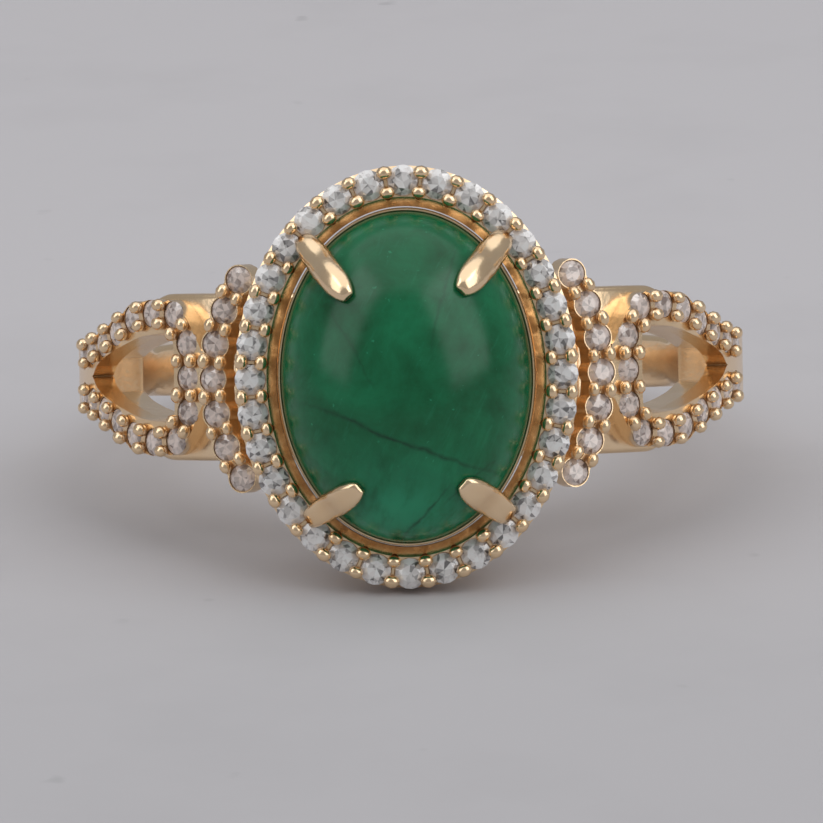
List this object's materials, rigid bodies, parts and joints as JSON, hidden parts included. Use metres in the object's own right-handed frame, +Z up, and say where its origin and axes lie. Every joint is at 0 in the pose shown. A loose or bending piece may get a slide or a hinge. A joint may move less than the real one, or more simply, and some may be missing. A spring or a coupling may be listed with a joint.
{
  "type": "cocktail ring",
  "caption": "Split-shank dress ring: a claw-set oval cabochon in a halo of small round stones, with side crescents and open teardrop loops set with stones.",
  "frame": {"origin": "centre of the underside of the ring's box as it lies on its side on a table, in the table's plane", "axes": "+Z up from the table; +X across the finger hole, to the right of someone facing the big stone; the stone faces -Y and is tipped back by about 15 degrees, so the finger hole runs about 15 degrees off +Z"},
  "size_m": [0.0212, 0.0252, 0.0129],
  "materials": {
    "gold": "high polish yellow gold",
    "emerald": "polished translucent green stone",
    "small_stones": "polished clear round stones"
  },
  "bodies": {
    "root": {"cabochon": "emerald", "crescent_left": "gold", "crescent_right": "gold", "crescent_stone_left_1": "small_stones", "crescent_stone_left_2": "small_stones", "crescent_stone_left_3": "small_stones", "crescent_stone_left_4": "small_stones", "crescent_stone_left_5": "small_stones", "crescent_stone_left_6": "small_stones", "crescent_stone_left_7": "small_stones", "crescent_stone_right_1": "small_stones", "crescent_stone_right_2": "small_stones", "crescent_stone_right_3": "small_stones", "crescent_stone_right_4": "small_stones", "crescent_stone_right_5": "small_stones", "crescent_stone_right_6": "small_stones", "crescent_stone_right_7": "small_stones", "gallery_rail": "gold", "halo_plate": "gold", "halo_stone_01": "small_stones", "halo_stone_02": "small_stones", "halo_stone_03": "small_stones", "halo_stone_04": "small_stones", "halo_stone_05": "small_stones", "halo_stone_06": "small_stones", "halo_stone_07": "small_stones", "halo_stone_08": "small_stones", "halo_stone_09": "small_stones", "halo_stone_10": "small_stones", "halo_stone_11": "small_stones", "halo_stone_12": "small_stones", "halo_stone_13": "small_stones", "halo_stone_14": "small_stones", "halo_stone_15": "small_stones", "halo_stone_16": "small_stones", "halo_stone_17": "small_stones", "halo_stone_18": "small_stones", "halo_stone_19": "small_stones", "halo_stone_20": "small_stones", "halo_stone_21": "small_stones", "halo_stone_22": "small_stones", "halo_stone_23": "small_stones", "halo_stone_24": "small_stones", "halo_stone_25": "small_stones", "halo_stone_26": "small_stones", "halo_stone_27": "small_stones", "halo_stone_28": "small_stones", "halo_stone_29": "small_stones", "halo_stone_30": "small_stones", "halo_stone_31": "small_stones", "halo_stone_32": "small_stones", "prong_lower_left": "gold", "prong_lower_right": "gold", "prong_upper_left": "gold", "prong_upper_right": "gold", "seat_basket": "gold", "shank": "gold", "teardrop_loop_left": "gold", "teardrop_loop_right": "gold"}
  },
  "joints": []
}
